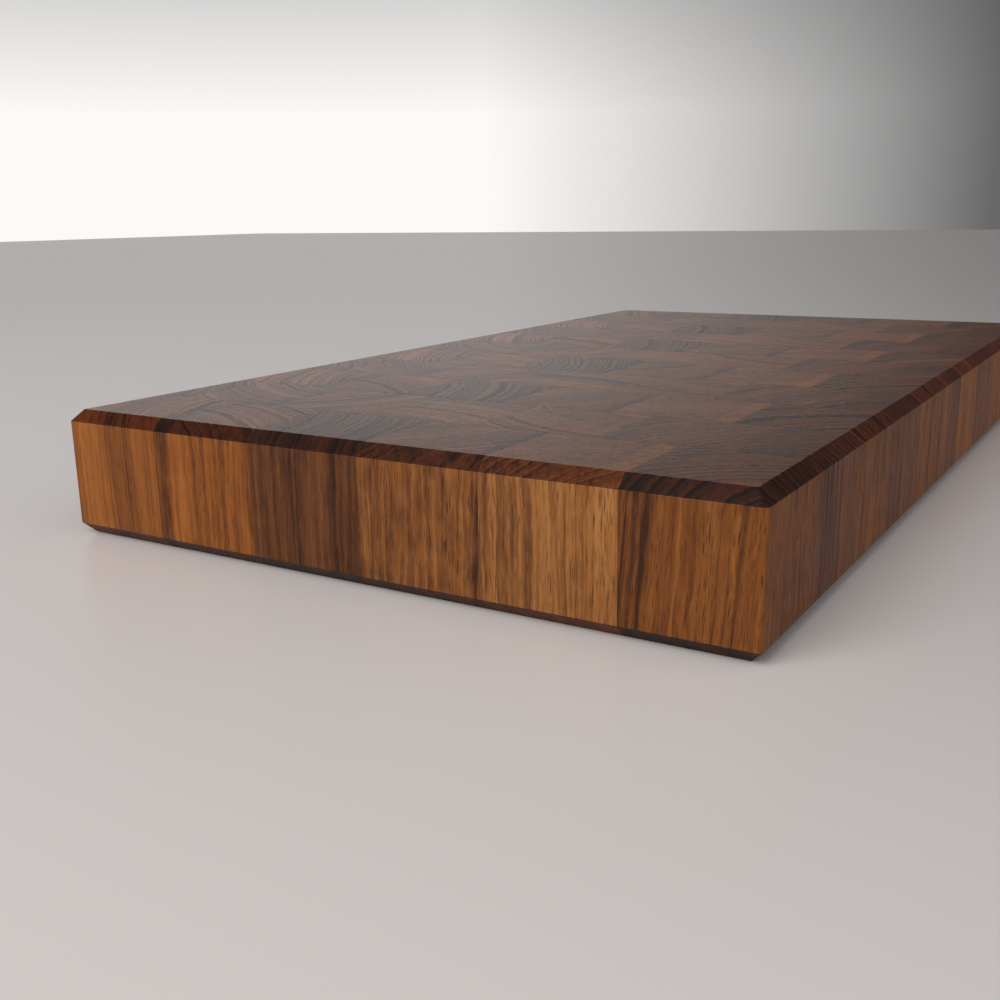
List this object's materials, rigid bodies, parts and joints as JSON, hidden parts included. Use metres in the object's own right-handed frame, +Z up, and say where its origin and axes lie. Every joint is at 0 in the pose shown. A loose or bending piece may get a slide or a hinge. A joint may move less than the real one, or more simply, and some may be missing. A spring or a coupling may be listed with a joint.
{
  "type": "cutting board",
  "caption": "End-grain wooden cutting board: upright walnut blocks glued in offset rows, with chamfered rims and eased corners.",
  "frame": {"origin": "middle of the bottom face, on the surface that the board rests on", "axes": "+X along the length, across the rows of blocks; +Y along the rows; +Z up, along the grain"},
  "size_m": [0.506, 0.287, 0.0508],
  "materials": {
    "walnut_dark": "oiled dark walnut heartwood, satin",
    "walnut_brown": "oiled walnut heartwood, satin",
    "walnut_amber": "oiled reddish walnut heartwood, satin",
    "walnut_tan": "oiled light walnut, near the sapwood, satin"
  },
  "bodies": {
    "root": {"row_01_block_1": "walnut_brown", "row_01_block_2": "walnut_tan", "row_01_block_3": "walnut_amber", "row_01_block_4": "walnut_dark", "row_01_block_5": "walnut_amber", "row_01_block_6": "walnut_tan", "row_02_block_1": "walnut_dark", "row_02_block_4": "walnut_tan", "row_02_block_7": "walnut_brown", "row_02_blocks_2_3": "walnut_brown", "row_02_blocks_5_6": "walnut_amber", "row_03_block_1": "walnut_brown", "row_03_block_2": "walnut_tan", "row_03_block_3": "walnut_amber", "row_03_block_4": "walnut_dark", "row_03_block_5": "walnut_amber", "row_03_block_6": "walnut_tan", "row_04_block_1": "walnut_dark", "row_04_block_4": "walnut_tan", "row_04_block_7": "walnut_brown", "row_04_blocks_2_3": "walnut_brown", "row_04_blocks_5_6": "walnut_amber", "row_05_block_1": "walnut_brown", "row_05_block_2": "walnut_tan", "row_05_block_3": "walnut_amber", "row_05_block_4": "walnut_dark", "row_05_block_5": "walnut_amber", "row_05_block_6": "walnut_tan", "row_06_block_1": "walnut_dark", "row_06_block_7": "walnut_brown", "row_06_blocks_2_3": "walnut_brown", "row_06_blocks_4_5_6": "walnut_tan", "row_07_block_1": "walnut_brown", "row_07_block_2": "walnut_tan", "row_07_block_3": "walnut_amber", "row_07_block_4": "walnut_dark", "row_07_block_5": "walnut_amber", "row_07_block_6": "walnut_tan", "row_08_block_1": "walnut_dark", "row_08_block_4": "walnut_tan", "row_08_block_7": "walnut_brown", "row_08_blocks_2_3": "walnut_brown", "row_08_blocks_5_6": "walnut_amber", "row_09_block_1": "walnut_brown", "row_09_block_2": "walnut_tan", "row_09_block_3": "walnut_amber", "row_09_block_4": "walnut_dark", "row_09_block_5": "walnut_amber", "row_09_block_6": "walnut_tan", "row_10_block_1": "walnut_dark", "row_10_block_4": "walnut_tan", "row_10_block_7": "walnut_brown", "row_10_blocks_2_3": "walnut_brown", "row_10_blocks_5_6": "walnut_amber", "row_11_block_1": "walnut_brown", "row_11_block_2": "walnut_tan", "row_11_block_3": "walnut_amber", "row_11_block_4": "walnut_dark", "row_11_block_5": "walnut_amber", "row_11_block_6": "walnut_tan"}
  },
  "joints": []
}
